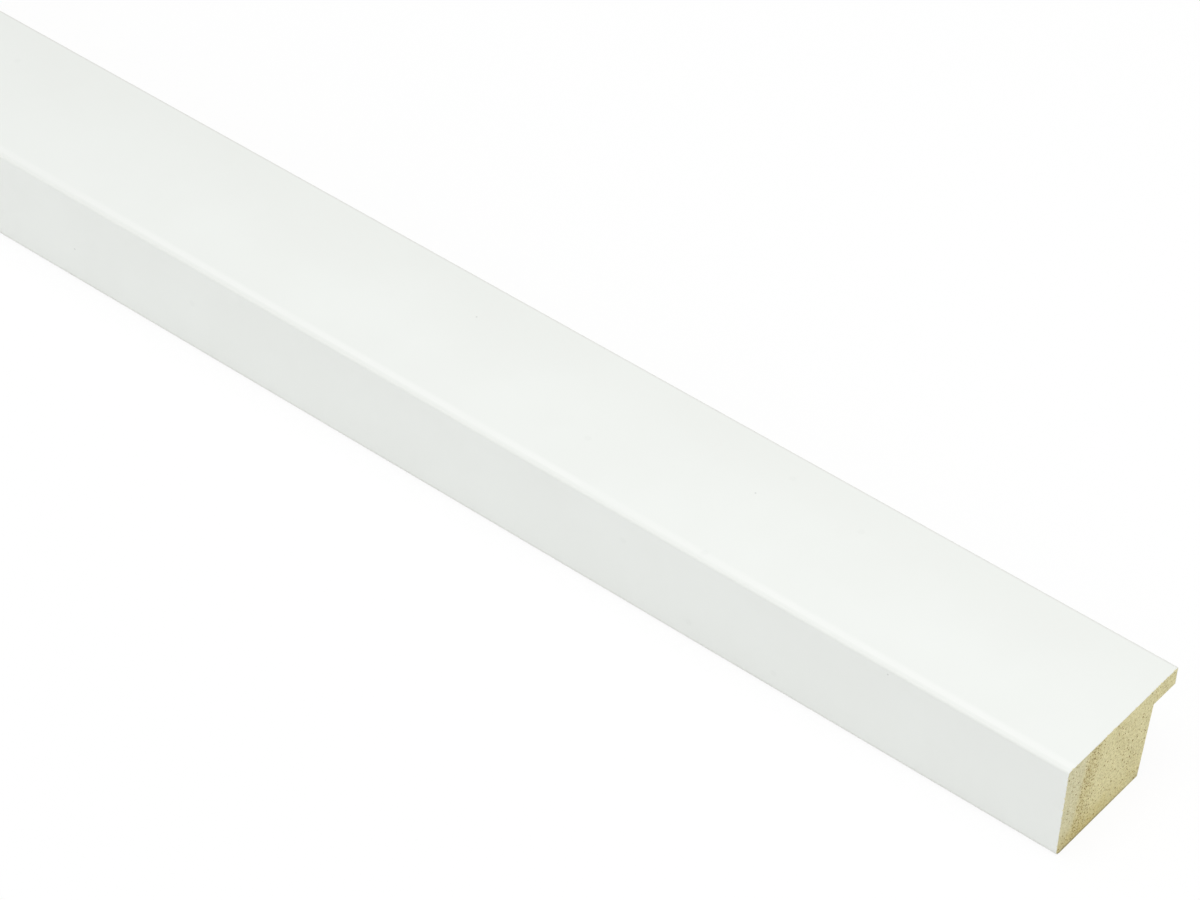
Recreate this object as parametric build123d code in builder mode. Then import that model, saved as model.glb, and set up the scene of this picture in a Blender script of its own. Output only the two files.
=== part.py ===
from build123d import *
import os
from math import radians, tan

# Picture frame moulding: one stick of planed wood with a rabbet under its sight edge.
# It lies on its back. X runs along the stick, -Y is the outer side of the finished frame,
# +Y is the sight edge beside the picture, and Z rises from the back to the face. The origin
# is half way along the stick and half way across its face, on the plane of the back.
# Lengths are in millimetres and angles in degrees.

# The stick, sawn square at both ends
length = 1000.0
face_width = 30.0
height = 18.4

# The rabbet, cut from the back and the sight edge, for the glass, picture and backing
lip_thickness = 3.6
rabbet_width = 6.1  # under the lip
rabbet_draft = 5.3  # the wall leans back from the lip, so the rabbet opens towards the back

# The edges that are rounded before the stick is lacquered
face_arris_radius = 0.5
back_arris_radius = 1.0
sight_edge_radius = 0.25

# Places across the section that follow from those sizes
outer_side = -face_width / 2
sight_edge = face_width / 2
rabbet_depth = height - lip_thickness
wall_at_lip = sight_edge - rabbet_width
wall_at_back = wall_at_lip - rabbet_depth * tan(radians(rabbet_draft))

rounded_corners = [
    ((outer_side, height), face_arris_radius),
    ((outer_side, 0), back_arris_radius),
    ((sight_edge, height), sight_edge_radius),
]

with BuildPart() as moulding:
    with BuildSketch(Plane.YZ.offset(-length / 2)) as section:
        # The planed blank
        with Locations((0, height / 2)):
            Rectangle(face_width, height)
        # The rabbet, taken out of the corner between the back and the sight edge
        with BuildLine():
            Polyline(
                (wall_at_back, 0),
                (wall_at_lip, rabbet_depth),
                (sight_edge, rabbet_depth),
                (sight_edge, 0),
                close=True,
            )
        make_face(mode=Mode.SUBTRACT)
        for corner, radius in rounded_corners:
            fillet(section.vertices().sort_by_distance(corner).first, radius=radius)
    extrude(amount=length)

moulding.part.label = "moulding"
os.makedirs("parts", exist_ok=True)
export_step(moulding.part, "parts/moulding.step")
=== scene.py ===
import random
from math import cos, hypot, pi, radians, sin, tan

import bmesh
import bpy
from mathutils import Euler, Matrix, Vector


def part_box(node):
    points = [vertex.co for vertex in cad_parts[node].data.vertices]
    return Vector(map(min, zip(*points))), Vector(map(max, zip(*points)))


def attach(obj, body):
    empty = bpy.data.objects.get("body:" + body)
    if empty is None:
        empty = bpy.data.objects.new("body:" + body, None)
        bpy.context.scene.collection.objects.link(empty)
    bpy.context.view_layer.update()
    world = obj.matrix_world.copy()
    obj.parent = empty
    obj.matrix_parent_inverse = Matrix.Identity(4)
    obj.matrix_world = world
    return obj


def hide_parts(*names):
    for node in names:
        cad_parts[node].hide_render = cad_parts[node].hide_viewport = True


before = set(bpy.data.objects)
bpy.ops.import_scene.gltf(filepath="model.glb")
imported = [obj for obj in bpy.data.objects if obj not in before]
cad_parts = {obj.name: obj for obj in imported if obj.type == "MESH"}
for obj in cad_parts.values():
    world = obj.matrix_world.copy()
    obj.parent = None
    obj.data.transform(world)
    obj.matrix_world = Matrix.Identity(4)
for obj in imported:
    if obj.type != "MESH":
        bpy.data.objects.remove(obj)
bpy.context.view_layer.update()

# A stick of white-lacquered frame moulding, lying on its back. X runs along the stick, -Y is its
# outer side, +Y its sight edge, and Z rises from the back to the face. Shapes are in metres, and
# finishes and pores are laid out in millimetres.
low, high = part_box("moulding")
outerSide, sightEdge = low.y, high.y
back, face = low.z, high.z
halfLength = high.x
toMm = 1000
toMetres = 0.001
hair = 1e-6                   # slack when points are compared
squarely = 0.9                # how squarely a face has to look along an axis to be picked by it

stick = {
    "lip": 0.0036,            # thickness of the lip over the rabbet
    "rabbet": 0.0061,         # width of the rabbet under the lip
    "wallLean": 5.3,          # degrees that the rabbet wall leans back
    "faceArris": 0.0005,
    "backArris": 0.001,
    "sightArris": 0.00025,
    "arrisSteps": 8,
    "oneFace": 0.5,           # degrees between faces that are merged
    "endZone": 0.004,         # closer mesh next to the saw cuts
    "endPitch": 0.001,
    "film": 0.00012,          # the coat where the saw cut through it
    "filmReach": 0.75,        # how deep in the film the middle of a coat face may lie
    "filmWander": 0.00004,    # how uneven the film is on its straight runs
    "filmSteady": 1.5,        # arris radii round each arris where it stays even
    "filmSeed": 4,
    "smoothUnder": 30,        # degrees between faces that are shaded as one
    "flatWeight": 50,         # how far large faces lead that shading
}
lean = radians(stick["wallLean"])
wallNormal = Vector((0, cos(lean), -sin(lean)))
lipUnder = face - stick["lip"]
wallAtLip = sightEdge - stick["rabbet"]
wallAtBack = wallAtLip - (lipUnder - back) * tan(lean)
arrises = (
    (outerSide, face, stick["faceArris"]),
    (outerSide, back, stick["backArris"]),
    (sightEdge, face, stick["sightArris"]),
)


# Helpers for edit mode

def deselectAll():
    if bpy.context.mode != "OBJECT":
        bpy.ops.object.mode_set(mode="OBJECT")
    bpy.ops.object.select_all(action="DESELECT")


def makeActive(piece):
    deselectAll()
    piece.select_set(True)
    bpy.context.view_layer.objects.active = piece


def startEditing(piece):
    makeActive(piece)
    bpy.ops.object.mode_set(mode="EDIT")


def pickFaces(piece, wanted):
    bpy.ops.mesh.select_mode(type="FACE")
    bpy.ops.mesh.select_all(action="DESELECT")
    mesh = bmesh.from_edit_mesh(piece.data)
    mesh.normal_update()
    for part in mesh.faces:
        if wanted(part.calc_center_median(), part.normal):
            part.select_set(True)
    bmesh.update_edit_mesh(piece.data)


def pickEdges(piece, wanted):
    bpy.ops.mesh.select_mode(type="EDGE")
    bpy.ops.mesh.select_all(action="DESELECT")
    mesh = bmesh.from_edit_mesh(piece.data)
    for part in mesh.edges:
        if all(wanted(corner.co) for corner in part.verts):
            part.select_set(True)
    bmesh.update_edit_mesh(piece.data)


def pickPoints(piece, wanted):
    bpy.ops.mesh.select_mode(type="VERT")
    bpy.ops.mesh.select_all(action="DESELECT")
    mesh = bmesh.from_edit_mesh(piece.data)
    for part in mesh.verts:
        if wanted(part.co):
            part.select_set(True)
    bmesh.update_edit_mesh(piece.data)


def dropPoints(piece, unwanted):
    bpy.ops.mesh.select_mode(type="VERT")
    mesh = bmesh.from_edit_mesh(piece.data)
    for part in mesh.verts:
        if part.select and unwanted(part.co):
            part.select_set(False)
    bmesh.update_edit_mesh(piece.data)


def near(a, b):
    return abs(a - b) < hair


# The planed stick

def planeStick():
    deselectAll()
    middle = (0, (outerSide + wallAtLip) / 2, (back + lipUnder) / 2)
    bpy.ops.mesh.primitive_cube_add(size=1, location=middle)
    piece = bpy.context.object
    piece.name = "moulding_stick"
    piece.scale = (2 * halfLength, wallAtLip - outerSide, lipUnder - back)
    bpy.ops.object.transform_apply(location=True, rotation=True, scale=True)

    startEditing(piece)
    # up to the face, then out over the rabbet
    pickFaces(piece, lambda at, normal: normal.z > squarely)
    bpy.ops.mesh.extrude_region_move(TRANSFORM_OT_translate={"value": (0, 0, stick["lip"])})
    pickFaces(piece, lambda at, normal: normal.y > squarely and at.z > lipUnder)
    bpy.ops.mesh.extrude_region_move(TRANSFORM_OT_translate={"value": (0, stick["rabbet"], 0)})
    # the rabbet wall leans back
    pickPoints(piece, lambda at: near(at.z, back) and near(at.y, wallAtLip))
    bpy.ops.transform.translate(value=(0, wallAtBack - wallAtLip, 0))
    bpy.ops.mesh.select_all(action="SELECT")
    bpy.ops.mesh.dissolve_limited(angle_limit=radians(stick["oneFace"]))

    # the three rounded arrises
    for across, up, radius in arrises:
        pickEdges(piece, lambda at: near(at.y, across) and near(at.z, up))
        bpy.ops.mesh.bevel(
            offset=radius, segments=stick["arrisSteps"], profile=0.5, clamp_overlap=False
        )
    # half way along, for the two rows of the bake map
    bpy.ops.mesh.select_all(action="SELECT")
    bpy.ops.mesh.bisect(plane_co=(0, 0, 0), plane_no=(1, 0, 0))
    bpy.ops.object.mode_set(mode="OBJECT")
    print("stick planed:", len(piece.data.polygons), "faces")
    return piece


def onArris(at):
    for across, up, radius in arrises:
        if hypot(at.y - across, at.z - up) < stick["filmSteady"] * radius + stick["film"]:
            return True
    return False


def sawEnds(piece):
    startEditing(piece)
    zone = halfLength - stick["endZone"]
    for side in (-1, 1):
        bpy.ops.mesh.select_all(action="SELECT")
        bpy.ops.mesh.bisect(plane_co=(side * zone, 0, 0), plane_no=(1, 0, 0))
    # closer mesh beside the saw cuts, on a grid through the inner corner of the rabbet
    pitch = stick["endPitch"]
    steps = round((sightEdge - outerSide) / pitch)
    for step in range(-steps, steps):
        for corner, first, last, direction in (
            (wallAtLip, outerSide, sightEdge, (0, 1, 0)),
            (lipUnder, back, face, (0, 0, 1)),
        ):
            cut = corner + step * pitch
            if first + pitch / 2 < cut < last - pitch / 2:
                pickFaces(piece, lambda at, normal: abs(at.x) > zone + hair)
                bpy.ops.mesh.bisect(plane_co=Vector(direction) * cut, plane_no=direction)
    # the ring of coat that the saw cut through, with a slightly uneven edge on its straight runs
    for side in (-1, 1):
        pickFaces(piece, lambda at, normal: normal.x * side > squarely)
        bpy.ops.mesh.inset(thickness=stick["film"], use_even_offset=True)
        bpy.ops.mesh.region_to_loop()
        dropPoints(piece, onArris)
        bpy.ops.transform.vertex_random(
            offset=stick["filmWander"], uniform=1, normal=0, seed=stick["filmSeed"] + side
        )
        bpy.ops.transform.resize(value=(0, 1, 1), center_override=(side * halfLength, 0, 0))
    bpy.ops.object.mode_set(mode="OBJECT")
    print("ends sawn:", len(piece.data.polygons), "faces")


moulding = planeStick()
sawEnds(moulding)


# Helpers for material nodes. The dictionaries below give a fade as where it starts and ends, and
# then as what it goes from and to, if that isn't from 0 to 1.

def addNode(tree, kind, sockets, **settings):
    node = tree.nodes.new("ShaderNode" + kind)
    for name, value in settings.items():
        setattr(node, name, value)
    for socket, value in sockets.items():
        if isinstance(value, bpy.types.NodeSocket):
            tree.links.new(value, node.inputs[socket])
        else:
            node.inputs[socket].default_value = value
    return node


def calc(tree, operation, a, b=0.0):
    return addNode(tree, "Math", {0: a, 1: b}, operation=operation).outputs[0]


def times(tree, a, b):
    return calc(tree, "MULTIPLY", a, b)


def fade(tree, value, start, end, first=0.0, last=1.0):
    sockets = {"Value": value, "From Min": start, "From Max": end, "To Min": first, "To Max": last}
    return addNode(tree, "MapRange", sockets, interpolation_type="SMOOTHSTEP").outputs[0]


def tint(tree, share, before, after):
    mix = addNode(tree, "Mix", {0: share, 6: before, 7: after}, data_type="RGBA")
    return mix.outputs[2]


def shadeBy(tree, colour, strength, blue=None):
    blue = strength if blue is None else blue
    shade = addNode(tree, "CombineColor", {0: strength, 1: strength, 2: blue}).outputs[0]
    sockets = {0: 1.0, 6: colour, 7: shade}
    return addNode(tree, "Mix", sockets, data_type="RGBA", blend_type="MULTIPLY").outputs[2]


def stretch(tree, place, scale):
    return addNode(tree, "Mapping", {"Vector": place, "Scale": scale}).outputs[0]


def noise(tree, place, scale, detail=2.0, roughness=0.5):
    sockets = {"Vector": place, "Scale": scale, "Detail": detail, "Roughness": roughness}
    return addNode(tree, "TexNoise", sockets).outputs[0]


def cells(tree, place, scale, dimensions="2D"):
    sockets = {"Vector": place, "Scale": scale}
    cell = addNode(tree, "TexVoronoi", sockets, voronoi_dimensions=dimensions).outputs
    chance = addNode(tree, "SeparateColor", {0: cell["Color"]}).outputs[0]
    return cell["Distance"], chance


def gapTo(tree, place, corner):
    sockets = {0: place, 1: corner}
    return addNode(tree, "VectorMath", sockets, operation="DISTANCE").outputs["Value"]


def bump(tree, height, depth, before=None):
    sockets = {"Strength": 1.0, "Distance": depth, "Height": height}
    if before is not None:
        sockets["Normal"] = before
    return addNode(tree, "Bump", sockets).outputs[0]


def startMaterial(name):
    finish = bpy.data.materials.new(name)
    finish.use_nodes = True
    tree = finish.node_tree
    shader = tree.nodes["Principled BSDF"].inputs
    place = addNode(tree, "TexCoord", {}).outputs["Object"]
    scaled = addNode(tree, "VectorMath", {0: place, "Scale": toMm}, operation="SCALE")
    at = {"mm": scaled.outputs[0]}
    at["x"], at["y"], at["z"] = addNode(tree, "SeparateXYZ", {0: at["mm"]}).outputs
    at["section"] = addNode(tree, "CombineXYZ", {1: at["y"], 2: at["z"]}).outputs[0]
    return finish, tree, shader, at


def toEnd(tree, at):
    return calc(tree, "SUBTRACT", halfLength * toMm, calc(tree, "ABSOLUTE", at["x"]))


def fromSide(tree, at):
    return calc(tree, "SUBTRACT", at["y"], outerSide * toMm)


# White lacquer

lacquer = {
    "coat": (0.862, 0.886, 0.856, 1),
    "thickAndHighlit": (0.895, 0.913, 0.886, 1),       # coat gathered beside the outer arris, whiter as a painted highlight on it
    "thinCoatAndShade": (0.79, 0.805, 0.77, 1),          # the coat thinner here and there, and painted shade over the face arris and to the sight edge
    "arrisShade": (0.73, 0.735, 0.70, 1),          # painted shade along the back arris and the sight edge
    "gatherHighlightRise": (0.7, 1.1),                # from the outer side
    "gatherHighlightFall": (1.6, 2.6, 1, 0),
    "gatherHighlightDepth": (0.3, 0.5, 1, 0),         # below the face
    "shadeToSight": (8, 32, 0, 0.35),            # painted shade, from the outer side to the sight edge
    "unevenScale": 0.05,
    "unevenGatherHighlight": (0.3, 0.6, 0.55, 1),
    "unevenCoat": (0.3, 0.7, 0, 0.2),
    # painted shade on each arris in turn, over a thinner coat on the face arris: where it starts,
    # where it is full, its share and colour
    "arrisShading": (
        (0.75, 0.2, 0.6, "thinCoatAndShade"),
        (1.3, 0.45, 0.8, "arrisShade"),
        (0.6, 0.2, 0.8, "arrisShade"),
    ),
    # soft round marks, then specks of dust: cells to a millimetre, radius, share of cells
    # without one, shade
    "marks": (
        (0.065, 0.75, 0.8, 0.978),
        (0.03, 0.2, 0.72, 0.8),
    ),
    "markCore": 0.6,                         # of the radius
    "chipReach": (0.16, 0.02),               # from the saw cuts
    "chipScale": 1.6,
    "chips": (0.56, 0.62),
    "glossScale": 0.4,
    "gloss": (0.3, 0.7, 0.36, 0.46),
    "peelScale": 0.45,
    "peelDepth": 0.000012,
    "streakScale": (0.02, 1.6, 1.6),         # the grain shows through the coat
    "streakDepth": 0.000003,
}


def whiteLacquer():
    finish, tree, shader, at = startMaterial("white_lacquer")
    across = fromSide(tree, at)
    below = calc(tree, "SUBTRACT", face * toMm, at["z"])
    uneven = noise(tree, at["mm"], lacquer["unevenScale"], detail=3)
    # painted highlight: the coat gathered beside the outer arris is tinted whiter where its ridge
    # catches the light
    gatheredHighlight = fade(tree, across, *lacquer["gatherHighlightRise"])
    gatheredHighlight = times(tree, gatheredHighlight, fade(tree, across, *lacquer["gatherHighlightFall"]))
    gatheredHighlight = times(tree, gatheredHighlight, fade(tree, below, *lacquer["gatherHighlightDepth"]))
    gatheredHighlight = times(tree, gatheredHighlight, fade(tree, uneven, *lacquer["unevenGatherHighlight"]))
    thinner = fade(tree, uneven, *lacquer["unevenCoat"])
    colour = tint(tree, thinner, lacquer["coat"], lacquer["thinCoatAndShade"])
    # painted shade: the face darkens towards the sight edge
    colour = tint(tree, fade(tree, across, *lacquer["shadeToSight"]), colour, lacquer["thinCoatAndShade"])
    colour = tint(tree, gatheredHighlight, colour, lacquer["thickAndHighlit"])
    # painted shade along the three arrises
    for arris, (far, close, share, shade) in zip(arrises, lacquer["arrisShading"]):
        gap = gapTo(tree, at["section"], (0, arris[0] * toMm, arris[1] * toMm))
        colour = tint(tree, fade(tree, gap, far, close, 0, share), colour, lacquer[shade])
    unrolled = addNode(tree, "CombineXYZ", {0: at["x"], 1: calc(tree, "ADD", at["y"], at["z"])})
    for perMm, radius, without, shade in lacquer["marks"]:
        gap, chance = cells(tree, unrolled.outputs[0], perMm)
        chosen = calc(tree, "GREATER_THAN", chance, without)
        mark = fade(tree, gap, radius * perMm, lacquer["markCore"] * radius * perMm)
        darker = times(tree, times(tree, chosen, mark), 1 - shade)
        colour = shadeBy(tree, colour, calc(tree, "SUBTRACT", 1.0, darker))
    # chipped to the wood here and there along the saw cuts
    chips = fade(tree, noise(tree, at["mm"], lacquer["chipScale"], detail=3), *lacquer["chips"])
    chips = times(tree, fade(tree, toEnd(tree, at), *lacquer["chipReach"]), chips)
    colour = tint(tree, chips, colour, endGrain["wood"])
    tree.links.new(colour, shader["Base Color"])
    gloss = fade(tree, noise(tree, at["mm"], lacquer["glossScale"], detail=4), *lacquer["gloss"])
    tree.links.new(gloss, shader["Roughness"])
    peel = bump(tree, noise(tree, at["mm"], lacquer["peelScale"]), lacquer["peelDepth"])
    streaks = noise(tree, stretch(tree, at["mm"], lacquer["streakScale"]), 1.0, detail=3)
    tree.links.new(bump(tree, streaks, lacquer["streakDepth"], peel), shader["Normal"])
    return finish


# Growth rings, which the raw wood and its pores follow

rings = {
    # centre across and up, radius, width of the porous band inside it, its weight
    "bands": (
        (98.0, -5.0, 109.3, 3.4, 1.0),
        (60.0, 35.0, 64.2, 3.6, 0.22),
        (70.0, 40.0, 65.2, 3.6, 0.18),
    ),
    "swayScale": 0.45,
    "sway": 3.0,              # how far a band strays
    "edge": (-0.9, 0.7),      # how a band begins
    "fallFrom": 0.3,          # where it thins out, in widths
    "fallTo": 1.5,
    "line": (0.3, 1.1),       # the densest line, along its edge
    "lineWeight": 1.4,
    "outside": (-1.2, 1.2),   # into the paler wood outside the first ring
}


def ringSway(tree, at):
    sway = noise(tree, at["section"], rings["swayScale"], detail=3)      # swings about 0.5
    return times(tree, calc(tree, "SUBTRACT", sway, 0.5), rings["sway"])


def porousBands(tree, at, sway):
    total = 0.0
    for across, up, radius, width, weight in rings["bands"]:
        gap = gapTo(tree, at["section"], (0, across, up))
        inside = calc(tree, "ADD", calc(tree, "SUBTRACT", radius, gap), sway)
        edge = fade(tree, inside, *rings["edge"])
        band = fade(tree, inside, rings["fallFrom"] * width, rings["fallTo"] * width, weight, 0)
        line = fade(tree, inside, *rings["line"], rings["lineWeight"] * weight, 0)
        denser = calc(tree, "MAXIMUM", times(tree, edge, band), times(tree, edge, line))
        total = calc(tree, "MAXIMUM", total, denser)
    return total


def outsideRing(tree, at, sway):
    across, up, radius = rings["bands"][0][:3]
    gap = gapTo(tree, at["section"], (0, across, up))
    beyond = calc(tree, "SUBTRACT", calc(tree, "ADD", gap, sway), radius)
    return fade(tree, beyond, *rings["outside"])


# Raw end grain on the sawn ends

endGrain = {
    "wood": (0.80, 0.74, 0.425, 1),
    "pale": (0.742, 0.70, 0.448, 1),         # outside the first ring
    "porous": (0.675, 0.585, 0.27, 1),
    "fibreAndPoreShade": (0.41, 0.31, 0.10, 1),          # flecks in the porous bands, and painted shade of the finest pores
    "low": (0.60, 0.49, 0.165, 1),           # browner towards the back
    "porousShare": 0.3,
    "fleckScale": 1.5,
    "flecks": (0.5, 0.6),
    "fleckShare": 0.42,
    "blotchScale": 0.55,
    "blotches": (0.3, 0.7, 0.97, 1.03),
    "lowRise": (6.5, 0.4),                   # from the back
    "lowAcross": (7, -7, 0.25, 1),
    "lowBlotches": (0.25, 0.65, 0.35, 1),
    "lowShare": 0.62,
    "rayScale": (1, 0.35, 5.5),              # rays run across the rings
    "rays": (0.25, 0.75, 0.955, 1.045),
    # the finest pores are only dots of painted shade: cells to a millimetre, radius, share of
    # cells with one
    "dots": (
        (1.7, 0.16, 0.45),
        (3.2, 0.09, 0.3),
    ),
    "dotsInBands": 0.3,                      # how many more there are in the porous bands
    "dotCore": 0.45,                         # of the radius
    "dotShare": 0.6,
    "speckleScale": 2.2,
    "speckleRoughness": 0.65,
    "speckles": (0.25, 0.75, 0.86, 1.14),
    "specklesBlue": (0.25, 0.75, 0.77, 1.23),     # dark specks are yellower than pale ones
    "bruiseRise": (0.75, 0.1),               # bruised along the back, where the saw came out
    "bruiseAcross": (7, -5, 0.8, 0.62),
    "roughness": 0.82,
    "specular": 0.25,
    "speckleDepth": 0.00005,
    "sawLean": 0.22,
    "sawTurn": 5.5,                          # radians to a millimetre
    "sawDepth": 0.000006,
}


def rawEndGrain():
    finish, tree, shader, at = startMaterial("raw_end_grain")
    sway = ringSway(tree, at)
    porous = porousBands(tree, at, sway)
    colour = tint(tree, outsideRing(tree, at, sway), endGrain["wood"], endGrain["pale"])
    colour = tint(tree, times(tree, porous, endGrain["porousShare"]), colour, endGrain["porous"])
    flecks = fade(tree, noise(tree, at["section"], endGrain["fleckScale"]), *endGrain["flecks"])
    flecks = times(tree, flecks, times(tree, porous, endGrain["fleckShare"]))
    colour = tint(tree, flecks, colour, endGrain["fibreAndPoreShade"])

    blotch = noise(tree, at["section"], endGrain["blotchScale"], detail=3)
    lowDown = fade(tree, at["z"], *endGrain["lowRise"])
    lowDown = times(tree, lowDown, fade(tree, blotch, *endGrain["lowBlotches"]))
    lowDown = times(tree, lowDown, fade(tree, at["y"], *endGrain["lowAcross"]))
    colour = tint(tree, times(tree, lowDown, endGrain["lowShare"]), colour, endGrain["low"])

    rays = noise(tree, stretch(tree, at["section"], endGrain["rayScale"]), 1.0)
    colour = shadeBy(tree, colour, fade(tree, rays, *endGrain["rays"]))
    sideways = addNode(tree, "CombineXYZ", {0: at["y"], 1: at["z"]}).outputs[0]
    for perMm, radius, share in endGrain["dots"]:
        gap, chance = cells(tree, sideways, perMm)
        chance = calc(tree, "ADD", chance, times(tree, porous, endGrain["dotsInBands"]))
        chosen = calc(tree, "GREATER_THAN", chance, 1 - share)
        dot = fade(tree, gap, radius * perMm, endGrain["dotCore"] * radius * perMm)
        dot = times(tree, times(tree, chosen, dot), endGrain["dotShare"])
        colour = tint(tree, dot, colour, endGrain["fibreAndPoreShade"])

    speckle = noise(
        tree, at["section"], endGrain["speckleScale"],
        detail=3, roughness=endGrain["speckleRoughness"]
    )
    blue = fade(tree, speckle, *endGrain["specklesBlue"])
    colour = shadeBy(tree, colour, fade(tree, speckle, *endGrain["speckles"]), blue)
    colour = shadeBy(tree, colour, fade(tree, blotch, *endGrain["blotches"]))
    bruise = fade(tree, at["y"], *endGrain["bruiseAcross"])
    colour = shadeBy(tree, colour, fade(tree, at["z"], *endGrain["bruiseRise"], 1.0, bruise))
    tree.links.new(colour, shader["Base Color"])
    shader["Roughness"].default_value = endGrain["roughness"]
    shader["Specular IOR Level"].default_value = endGrain["specular"]

    rough = bump(tree, speckle, endGrain["speckleDepth"])
    stroke = calc(tree, "ADD", at["z"], times(tree, at["y"], endGrain["sawLean"]))
    sawn = calc(tree, "SINE", times(tree, stroke, endGrain["sawTurn"]))
    tree.links.new(bump(tree, sawn, endGrain["sawDepth"], rough), shader["Normal"])
    return finish


# Raw long grain on the back and in the rabbet

longGrain = {
    "wood": (0.77, 0.71, 0.50, 1),
    "dark": (0.67, 0.59, 0.36, 1),
    "vessel": (0.40, 0.29, 0.12, 1),
    "streakScale": (0.012, 0.9, 0.9),
    "streakRoughness": 0.6,
    "streaks": (0.32, 0.68),
    "broadScale": (0.004, 0.12, 0.12),
    "broad": (0.3, 0.7, 0.93, 1.05),
    "porousShare": 0.3,
    "vesselScale": (0.13, 4.2, 4.2),         # vessels cut lengthwise
    "vesselWidth": (0.4, 0.2),
    "vesselsWithout": 0.76,                  # share of cells without one
    "vesselsInBands": 0.3,                   # how many more there are in the porous bands
    "vesselShare": 0.65,
    "fineScale": (0.25, 5.0, 5.0),
    "fine": (0.25, 0.75, 0.93, 1.06),
    "mistFromSide": (3.6, 0.8),              # overspray that crept round the lacquered edges
    "mistFromSight": (1.8, 0.1),
    "mistStretch": (0.25, 1, 1),
    "mistScale": 1.2,
    "mistRoughness": 0.65,
    "mistPatches": (0.36, 0.66),
    "mistFull": (0.6, 1.0),
    "mistShare": 0.85,
    "roughness": 0.7,
    "specular": 0.3,
    "grooveDepth": 0.00003,
    "vesselDepth": 0.9,                      # beside the fine grooves
    "planerPitch": 1.5,
    "planerDepth": 0.000003,
}


def rawLongGrain():
    finish, tree, shader, at = startMaterial("raw_long_grain")
    porous = porousBands(tree, at, ringSway(tree, at))
    streaks = noise(
        tree, stretch(tree, at["mm"], longGrain["streakScale"]), 1.0,
        detail=4, roughness=longGrain["streakRoughness"]
    )
    streaks = fade(tree, streaks, *longGrain["streaks"])
    colour = tint(tree, streaks, longGrain["wood"], longGrain["dark"])
    broad = noise(tree, stretch(tree, at["mm"], longGrain["broadScale"]), 1.0)
    colour = shadeBy(tree, colour, fade(tree, broad, *longGrain["broad"]))
    colour = tint(tree, times(tree, porous, longGrain["porousShare"]), colour, longGrain["dark"])

    gap, chance = cells(tree, stretch(tree, at["mm"], longGrain["vesselScale"]), 1.0, "3D")
    chance = calc(tree, "ADD", chance, times(tree, porous, longGrain["vesselsInBands"]))
    chosen = calc(tree, "GREATER_THAN", chance, longGrain["vesselsWithout"])
    vessel = times(tree, chosen, fade(tree, gap, *longGrain["vesselWidth"]))
    colour = tint(tree, times(tree, vessel, longGrain["vesselShare"]), colour, longGrain["vessel"])
    fine = noise(tree, stretch(tree, at["mm"], longGrain["fineScale"]), 1.0)
    colour = shadeBy(tree, colour, fade(tree, fine, *longGrain["fine"]))

    toSight = calc(tree, "SUBTRACT", sightEdge * toMm, at["y"])
    mist = fade(tree, fromSide(tree, at), *longGrain["mistFromSide"])
    mist = calc(tree, "MAXIMUM", mist, fade(tree, toSight, *longGrain["mistFromSight"]))
    patchy = noise(
        tree, stretch(tree, at["mm"], longGrain["mistStretch"]), longGrain["mistScale"],
        detail=5, roughness=longGrain["mistRoughness"]
    )
    patchy = fade(tree, patchy, *longGrain["mistPatches"])
    patchy = calc(tree, "MAXIMUM", patchy, fade(tree, mist, *longGrain["mistFull"]))
    mist = times(tree, times(tree, mist, patchy), longGrain["mistShare"])
    colour = tint(tree, mist, colour, lacquer["coat"])
    tree.links.new(colour, shader["Base Color"])
    shader["Roughness"].default_value = longGrain["roughness"]
    shader["Specular IOR Level"].default_value = longGrain["specular"]

    carved = calc(tree, "SUBTRACT", fine, times(tree, vessel, longGrain["vesselDepth"]))
    grooves = bump(tree, carved, longGrain["grooveDepth"])
    planed = calc(tree, "SINE", times(tree, at["x"], 2 * pi / longGrain["planerPitch"]))
    tree.links.new(bump(tree, planed, longGrain["planerDepth"], grooves), shader["Normal"])
    return finish


# Open pores in the sawn ends, cut as real pits

pores = {
    # the pit walls are wood painted dark for the shade inside them
    "wall": (0.35, 0.215, 0.045, 1),
    "deep": (0.175, 0.10, 0.018, 1),
    "shadeDeepens": (0.0, 0.5),    # painted shade, deepening from the saw cut
    "shadeScale": 2.5,
    "shades": (0.25, 0.75, 0.7, 1.35),
    "roughness": 0.85,
    "seed": 21,
    "perEnd": 280,
    "radius": (0.1, 0.25),
    "usual": 1.5,             # the commonest radius, in smallest ones
    "oval": (0.8, 1.25),
    "depth": (0.3, 0.9),
    "sides": 7,
    "taper": 0.55,
    "margin": 0.4,            # clear of the edges
    "clear": 0.1,             # wood left between two pores
    "scattered": 0.045,       # how open the wood is between the porous bands
    "thinOut": 1.1,           # how soon they thin out across a band
}


def poreWallShade():
    finish, tree, shader, at = startMaterial("pore_wall_shade")
    # painted shade, darker deeper in the pits
    deeperShade = fade(tree, toEnd(tree, at), *pores["shadeDeepens"])
    colour = tint(tree, deeperShade, pores["wall"], pores["deep"])
    shade = fade(tree, noise(tree, at["mm"], pores["shadeScale"]), *pores["shades"])
    tree.links.new(shadeBy(tree, colour, shade), shader["Base Color"])
    shader["Roughness"].default_value = pores["roughness"]
    return finish


def porosity(y, z):
    best = pores["scattered"]
    for across, up, radius, width, weight in rings["bands"]:
        inside = radius - hypot(y - across, z - up)
        reach = rings["fallTo"] * width
        if 0 < inside < reach:
            best = max(best, weight * (1 - inside / reach) ** pores["thinOut"])
    return best


def inWood(y, z, margin):
    wall = wallAtLip * toMm + (z - lipUnder * toMm) * tan(lean)
    right = sightEdge * toMm if z > lipUnder * toMm + margin else wall
    return outerSide * toMm + margin < y < right - margin and margin < z < face * toMm - margin


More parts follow.
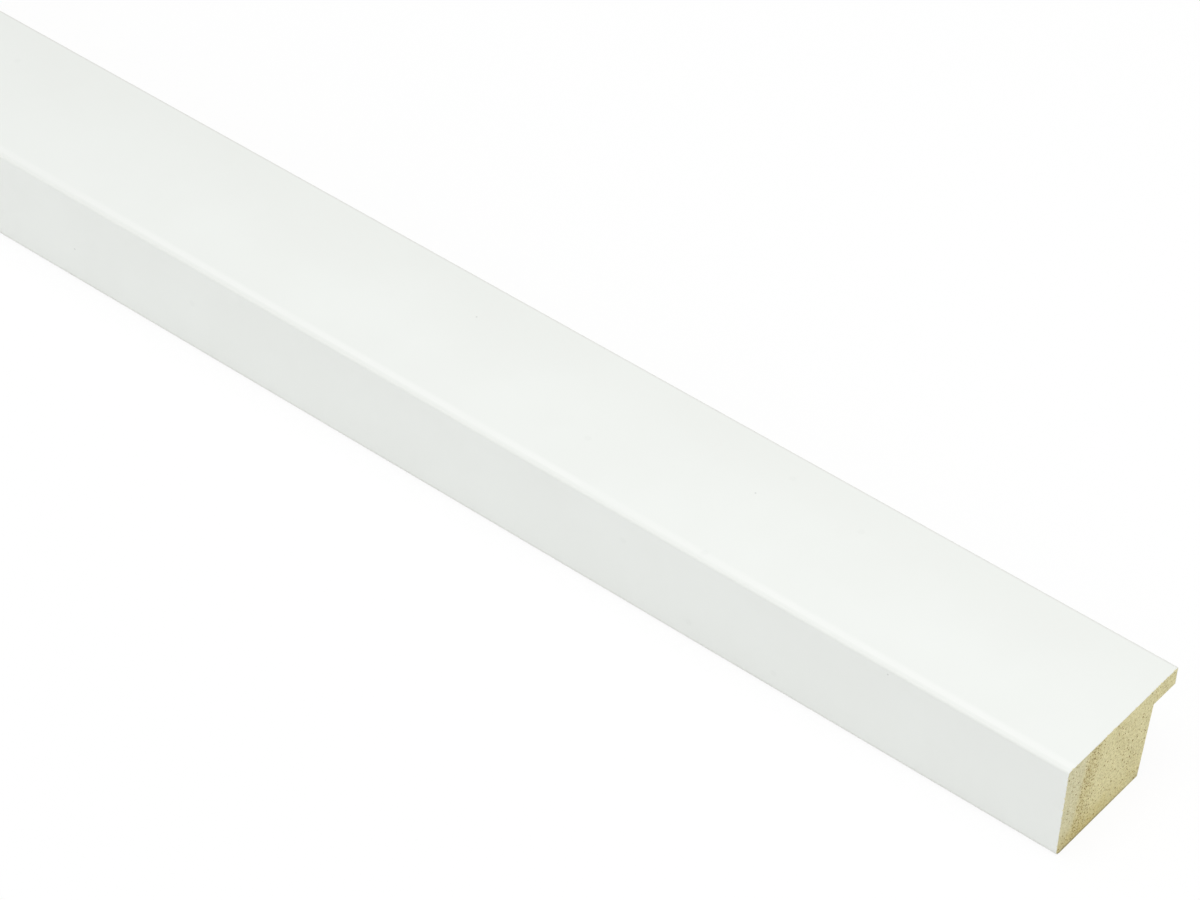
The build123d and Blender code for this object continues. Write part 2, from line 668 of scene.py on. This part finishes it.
def scatterPores(draw):
    places = []
    while len(places) < pores["perEnd"]:
        y = draw.uniform(outerSide, sightEdge) * toMm
        z = draw.uniform(back, face) * toMm
        radius = draw.triangular(*pores["radius"], pores["radius"][0] * pores["usual"])
        if not inWood(y, z, pores["margin"]) or draw.random() > porosity(y, z):
            continue
        if all(hypot(y - a, z - b) > radius + r + pores["clear"] for a, b, r in places):
            places.append((y, z, radius))
    return places


def shapePits(piece):
    draw = random.Random(pores["seed"])
    deselectAll()
    bpy.ops.mesh.primitive_cone_add(
        vertices=pores["sides"], radius1=1, radius2=pores["taper"], depth=2,
        rotation=(0, radians(-90), 0)
    )
    pit = bpy.context.object
    bpy.ops.object.transform_apply(location=False, rotation=True, scale=True)
    pit.data.materials.append(piece.data.materials["pore_wall_shade"])
    pits = []
    for side in (-1, 1):
        for y, z, radius in scatterPores(draw):
            copied = pit.copy()
            copied.data = pit.data.copy()
            bpy.context.collection.objects.link(copied)
            depth = draw.uniform(*pores["depth"]) * toMetres
            copied.location = (side * halfLength, y * toMetres, z * toMetres)
            copied.rotation_euler = (draw.uniform(0, 2 * pi), 0, 0 if side > 0 else pi)
            oval = draw.uniform(*pores["oval"])
            copied.scale = (depth, radius * toMetres * oval, radius * toMetres / oval)
            pits.append(copied)
    bpy.data.objects.remove(pit)
    makeActive(pits[0])
    for copied in pits:
        copied.select_set(True)
    bpy.ops.object.join()
    bpy.ops.object.transform_apply(location=True, rotation=True, scale=True)
    return bpy.context.object


def openPores(piece):
    pits = shapePits(piece)
    makeActive(piece)
    cut = piece.modifiers.new("pores", "BOOLEAN")
    cut.operation = "DIFFERENCE"
    cut.solver = "EXACT"
    cut.material_mode = "TRANSFER"
    cut.object = pits
    bpy.ops.object.modifier_apply(modifier=cut.name)
    bpy.data.objects.remove(pits)
    startEditing(piece)
    bpy.ops.mesh.select_all(action="SELECT")
    bpy.ops.mesh.dissolve_degenerate(threshold=hair)
    bpy.ops.object.mode_set(mode="OBJECT")
    print("pores opened:", len(piece.data.polygons), "faces")


# Finishes are laid before the pores are cut, and the arrises smoothed after

lacquered, endWood, longWood, poreWood = range(4)      # the stick's material slots
onWall = 0.9999               # how squarely a face of the rabbet wall looks along its normal


def inCutCoat(at):
    # the ring of cut coat follows only the lacquered edges
    reach = stick["film"] * stick["filmReach"]
    corner = stick["backArris"]
    if at.z < back + corner and at.y < outerSide + corner:
        return hypot(outerSide + corner - at.y, back + corner - at.z) > corner - reach
    if at.z > face - reach or at.y < outerSide + reach or at.y > sightEdge - reach:
        return True
    for across, radius in (
        (outerSide + stick["faceArris"], stick["faceArris"]),
        (sightEdge - stick["sightArris"], stick["sightArris"]),
    ):
        beyond = at.y < across if across < 0 else at.y > across
        if beyond and at.z > face - radius:
            return hypot(at.y - across, at.z - face + radius) > radius - reach
    return False


def coatStick(piece):
    for finish in (whiteLacquer(), rawEndGrain(), rawLongGrain(), poreWallShade()):
        piece.data.materials.append(finish)
    for part in piece.data.polygons:
        at, normal = part.center, part.normal
        seat = near(at.z, lipUnder) and normal.z < -squarely
        wall = normal.dot(wallNormal) > onWall and at.z < lipUnder
        if abs(normal.x) > squarely:
            part.material_index = lacquered if inCutCoat(at) else endWood
        elif near(at.z, back) or seat or wall:
            part.material_index = longWood
    print("finishes laid:", [slot.name for slot in piece.data.materials])


def smoothStick(piece):
    makeActive(piece)
    bpy.ops.object.shade_smooth_by_angle(angle=radians(stick["smoothUnder"]))
    weigh = piece.modifiers.new("flat_faces", "WEIGHTED_NORMAL")
    weigh.keep_sharp = True
    weigh.weight = stick["flatWeight"]
    bpy.ops.object.modifier_apply(modifier=weigh.name)
    print("arrises smoothed")


coatStick(moulding)
openPores(moulding)
smoothStick(moulding)


# A map for baking: both ends large, the long faces unrolled in two rows

bakeMap = {
    "perMm": 1 / 64,          # the ends
    "endFacing": 0.5,         # faces that look this far along the stick go with the ends
    "margin": 0.008,
    "endsFrom": 0.7,
    "rowHeight": 0.335,
    "sideGap": 1.0,           # millimetres between two unrolled faces
}


def unrolledSides():
    up, down = Vector((0, 0, 1)), Vector((0, 0, -1))
    out, inward = Vector((0, -1, 0)), Vector((0, 1, 0))
    halfUp = lipUnder / 2
    wallHeight = (lipUnder - back) / cos(lean)
    # normal, where the face lies, how far along it a point is, its width
    return (
        (up, lambda at: True, lambda at: sightEdge - at.y, sightEdge - outerSide),
        (out, lambda at: True, lambda at: face - at.z, face - back),
        (down, lambda at: at.z < halfUp, lambda at: at.y - outerSide, wallAtBack - outerSide),
        (wallNormal, lambda at: at.z < lipUnder, lambda at: (at.z - back) / cos(lean), wallHeight),
        (down, lambda at: at.z > halfUp, lambda at: at.y - wallAtLip, stick["rabbet"]),
        (inward, lambda at: at.z > lipUnder, lambda at: at.z - lipUnder, stick["lip"]),
    )


def layBakeMap(piece):
    sides = unrolledSides()
    gap = bakeMap["sideGap"] * toMetres
    starts, total = [], gap
    for side in sides:
        starts.append(total)
        total += side[3] + gap
    mesh = piece.data
    uv = mesh.uv_layers.new(name="OFBake")
    margin = bakeMap["margin"]
    endWidth = (sightEdge - outerSide) * toMm * bakeMap["perMm"]
    for part in mesh.polygons:
        at, normal = part.center, part.normal
        right = at.x > 0
        onEnd = abs(normal.x) > bakeMap["endFacing"] or part.material_index == poreWood
        fits = [(normal.dot(side[0]), index) for index, side in enumerate(sides) if side[1](at)]
        best = max(fits)[1]
        for corner in part.loop_indices:
            point = mesh.vertices[mesh.loops[corner].vertex_index].co
            if onEnd:
                u = margin + (endWidth + margin if right else 0)
                u += (point.y - outerSide) * toMm * bakeMap["perMm"]
                v = bakeMap["endsFrom"] + (point.z - back) * toMm * bakeMap["perMm"]
            else:
                u = margin + abs(point.x) / halfLength * (1 - 2 * margin)
                v = (starts[best] + sides[best][2](point)) / total * bakeMap["rowHeight"]
                v += margin + (bakeMap["rowHeight"] + margin if right else 0)
            uv.data[corner].uv = (u, v)
    print("bake map laid")


layBakeMap(moulding)


# Light and camera

white = (1, 1, 1, 1)
studio = {
    "ambient": 0.685,
    "ambientLean": 0.2,       # brighter in front of the stick, dimmer behind it
    "floorSize": 12,
    "floorColour": (0.83, 0.83, 0.83, 1),
    "floorWhite": 0.9,        # how far the camera sees plain white instead of the lit floor
    # where each softbox hangs and looks, its length along the stick, its width and watts, and
    # whether it glints
    "softboxes": {
        "near_top": ((0.51, 0, 0.55), (0.47, 0, 0.018), 0.45, 0.45, 1.18, True),
        "far_top": ((-0.42, 0, 0.45), (-0.42, 0, 0.018), 0.34, 0.35, 0.456, True),
        "side": ((-0.125, -0.36, 0.06), (-0.125, 0, 0.012), 1.13, 0.3, 0.3, False),
    },
}
viewer = {
    "place": (halfLength + 0.2157, -0.4271, 0.4927),
    "azimuth": 36.64,
    "elevation": 42.06,
    "roll": 3.24,
    "lens": 131.94,
    "sensor": 36,
    "nearest": 0.01,
    "farthest": 50,
}


def seenDirectly(tree):
    path = addNode(tree, "LightPath", {}).outputs
    seen = calc(tree, "MAXIMUM", path["Is Camera Ray"], path["Is Glossy Ray"])
    return calc(tree, "MAXIMUM", seen, path["Is Transmission Ray"])


def setWorld():
    world = bpy.data.worlds.new("studio")
    bpy.context.scene.world = world
    world.use_nodes = True
    tree = world.node_tree
    tree.nodes.clear()
    direction = addNode(tree, "TexCoord", {}).outputs["Generated"]
    forward = addNode(tree, "SeparateXYZ", {0: direction}).outputs["Y"]
    slope = times(tree, forward, studio["ambientLean"])
    level = calc(tree, "SUBTRACT", studio["ambient"], slope)
    ambient = addNode(tree, "Background", {"Color": white, "Strength": level}).outputs[0]
    plain = addNode(tree, "Background", {"Color": white, "Strength": 1.0}).outputs[0]
    mix = addNode(tree, "MixShader", {0: seenDirectly(tree), 1: ambient, 2: plain})
    addNode(tree, "OutputWorld", {0: mix.outputs[0]})


def layFloor():
    deselectAll()
    bpy.ops.mesh.primitive_plane_add(size=studio["floorSize"], location=(0, 0, back))
    floor = bpy.context.object
    floor.name = "floor"
    paper = bpy.data.materials.new("floor_paper")
    paper.use_nodes = True
    tree = paper.node_tree
    tree.nodes.clear()
    seen = seenDirectly(tree)
    colour = tint(tree, seen, studio["floorColour"], white)
    lit = addNode(tree, "BsdfDiffuse", {"Color": colour}).outputs[0]
    plain = addNode(tree, "Emission", {"Color": white, "Strength": 1.0}).outputs[0]
    share = times(tree, seen, studio["floorWhite"])
    mix = addNode(tree, "MixShader", {0: share, 1: lit, 2: plain})
    addNode(tree, "OutputMaterial", {0: mix.outputs[0]})
    floor.data.materials.append(paper)


def hangSoftboxes():
    for name, (place, aim, length, width, watts, glints) in studio["softboxes"].items():
        bpy.ops.object.light_add(type="AREA", location=place)
        softbox = bpy.context.object
        softbox.name = name + "_softbox"
        softbox.rotation_euler = (Vector(aim) - Vector(place)).to_track_quat("-Z", "Y").to_euler()
        softbox.data.shape = "RECTANGLE"
        softbox.data.size, softbox.data.size_y = length, width
        softbox.data.energy = watts
        softbox.visible_camera = False
        softbox.visible_glossy = glints


def setCamera():
    bpy.ops.object.camera_add()
    camera = bpy.context.object
    camera.name = "viewer"
    camera.data.sensor_width = viewer["sensor"]
    camera.data.lens = viewer["lens"]
    camera.data.clip_start, camera.data.clip_end = viewer["nearest"], viewer["farthest"]
    turn = Euler((radians(90 - viewer["elevation"]), 0, radians(viewer["azimuth"])))
    camera.matrix_world = (
        Matrix.Translation(viewer["place"])
        @ turn.to_matrix().to_4x4()
        @ Matrix.Rotation(radians(viewer["roll"]), 4, "Z")
    )
    bpy.context.scene.camera = camera


bpy.context.scene.view_settings.view_transform = "Standard"
setWorld()
layFloor()
hangSoftboxes()
setCamera()
print("studio set")

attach(moulding, "root")
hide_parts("moulding")
